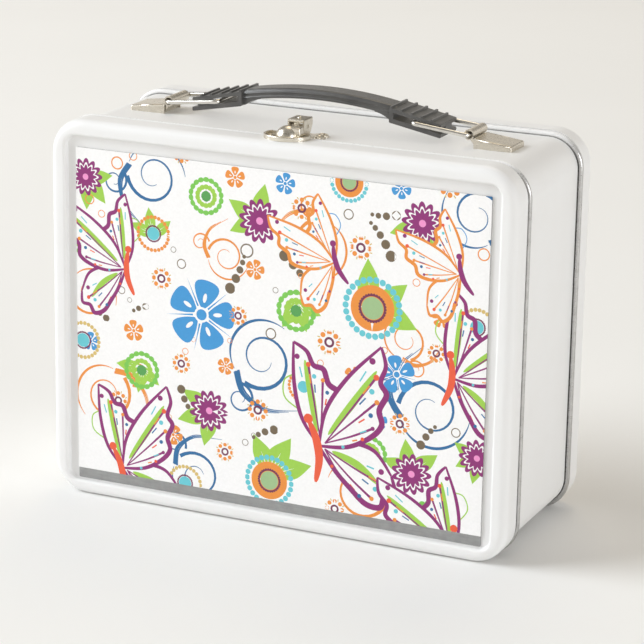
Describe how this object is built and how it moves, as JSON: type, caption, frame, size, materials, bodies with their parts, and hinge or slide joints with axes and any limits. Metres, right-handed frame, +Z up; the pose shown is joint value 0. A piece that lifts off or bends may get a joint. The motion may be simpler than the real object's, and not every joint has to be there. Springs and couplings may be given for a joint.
{
  "type": "metal lunch box",
  "caption": "Rounded sheet-metal lunch box with a bottom-hinged front lid, a decorated flat insert, a top latch and a lifting handle on wire bails.",
  "frame": {"origin": "middle of the base, on the surface the box stands on", "axes": "+X to the right along the lid hinge, +Y from the lid to the back, +Z up"},
  "size_m": [0.2236, 0.0946, 0.1905],
  "materials": {
    "painted_white": "smooth gloss white enamel on both sides of the sheet",
    "bare_tin": "bare tinplate, satin",
    "bright_wire": "bright plated wire",
    "nickel_sheet": "nickel-plated sheet, lightly brushed, slightly warm",
    "printed_panel": "satin white coated sheet printed all over with flowers, butterflies and scrolls",
    "black_grip": "black moulded vinyl with a soft satin sheen"
  },
  "bodies": {
    "box": {"body_band": "painted_white", "front_rim_bead": "bright_wire", "rear_seam_bead": "bright_wire", "back_pan": "painted_white", "body_hinge_leaf": "bare_tin", "hinge_pin": "bright_wire", "latch_base": "nickel_sheet", "latch_rivets": "nickel_sheet", "latch_pin": "nickel_sheet", "clip_rivets": "bare_tin", "clip_cover_left": "nickel_sheet", "clip_cover_right": "nickel_sheet", "clip_strap_left": "nickel_sheet", "clip_strap_right": "nickel_sheet", "clip_backing_plate_left": "bare_tin", "clip_backing_plate_right": "bare_tin"},
    "lid": {"front_lid": "painted_white", "insert_backing_plate": "bare_tin", "printed_insert": "printed_panel", "lid_hinge_leaf": "bare_tin", "keeper_plate": "nickel_sheet", "keeper_boss": "nickel_sheet", "keeper_rivets": "nickel_sheet"},
    "latch": {"latch_lever": "nickel_sheet"},
    "handle": {"handle_grip": "black_grip"},
    "left_bail": {"bail_left": "bright_wire"},
    "right_bail": {"bail_right": "bright_wire"}
  },
  "joints": [
    {"name": "lid_hinge", "type": "hinge", "parent": "box", "child": "lid", "pos_m": [0, -0.0322, 0.0011], "axis": [1, 0, 0], "range_deg": [0, 75]},
    {"name": "latch_pivot", "type": "hinge", "parent": "box", "child": "latch", "pos_m": [0.0002, -0.0229, 0.1779], "axis": [-1, 0, 0], "range_deg": [0, 60]},
    {"name": "handle_lift", "type": "slide", "parent": "box", "child": "handle", "axis": [0, 0, 1], "range_m": [0, 0.0174]},
    {"name": "left_bail_swing", "type": "hinge", "parent": "box", "child": "left_bail", "pos_m": [-0.072, 0, 0.1787], "axis": [0, -1, 0], "range_deg": [0, 40]},
    {"name": "right_bail_swing", "type": "hinge", "parent": "box", "child": "right_bail", "pos_m": [0.0732, 0, 0.1787], "axis": [0, 1, 0], "range_deg": [0, 40]}
  ],
  "couplings": [
    {"joint": "left_bail_swing", "follows": "handle_lift", "rad_per_m": 39.803},
    {"joint": "right_bail_swing", "follows": "handle_lift", "rad_per_m": 39.803}
  ]
}
